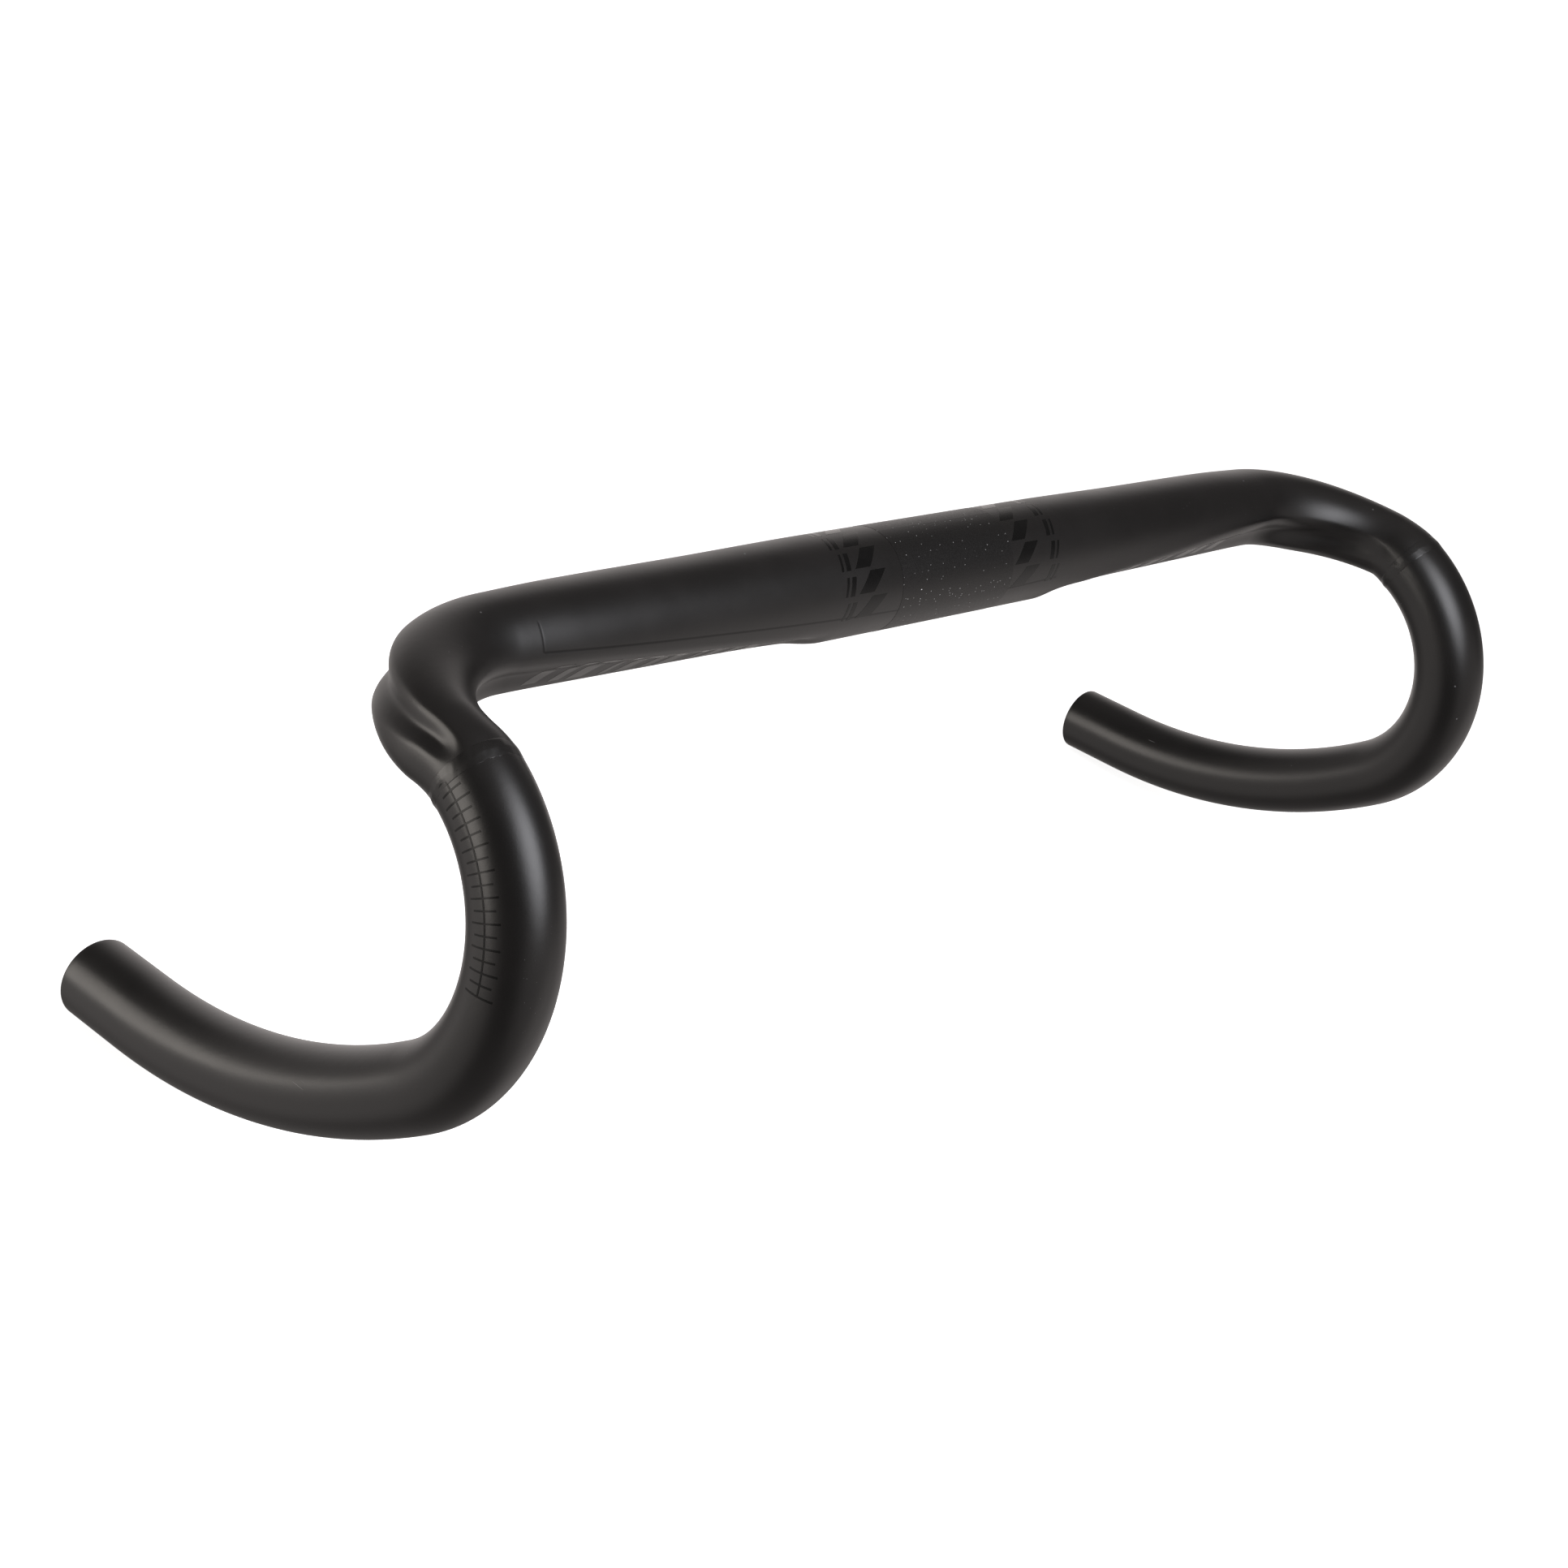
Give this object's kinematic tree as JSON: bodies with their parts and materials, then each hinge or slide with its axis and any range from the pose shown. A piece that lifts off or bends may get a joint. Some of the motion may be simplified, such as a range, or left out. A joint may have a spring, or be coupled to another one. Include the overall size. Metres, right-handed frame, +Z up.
{
  "type": "drop handlebar",
  "caption": "Bare drop handlebar with a round stem clamp zone, cable grooves under the tops, curved hooks and open-ended drops.",
  "frame": {"origin": "centre of the stem clamp zone, on its axis", "axes": "+X to the rider's left along the clamp axis, +Y to the rear of the bicycle, +Z up with the ramps level"},
  "size_m": [0.4798, 0.1569, 0.1573],
  "materials": {
    "carbon_matte": "matte clear coat over black carbon laminate",
    "carbon_satin": "satin black carbon laminate",
    "laminate": "raw laminate",
    "adhesive": "cured black epoxy",
    "grip_coat": "gritty friction coat",
    "scale_ink": "gloss ink"
  },
  "bodies": {
    "root": {"centre_section": "carbon_matte", "drop_right": "carbon_satin", "drop_left": "carbon_satin", "joint_sleeve_right": "laminate", "joint_sleeve_left": "laminate", "bond_line_right": "adhesive", "bond_line_left": "adhesive", "clamp_grip_coat": "grip_coat", "lever_scale_right": "scale_ink", "lever_scale_left": "scale_ink"}
  },
  "joints": []
}
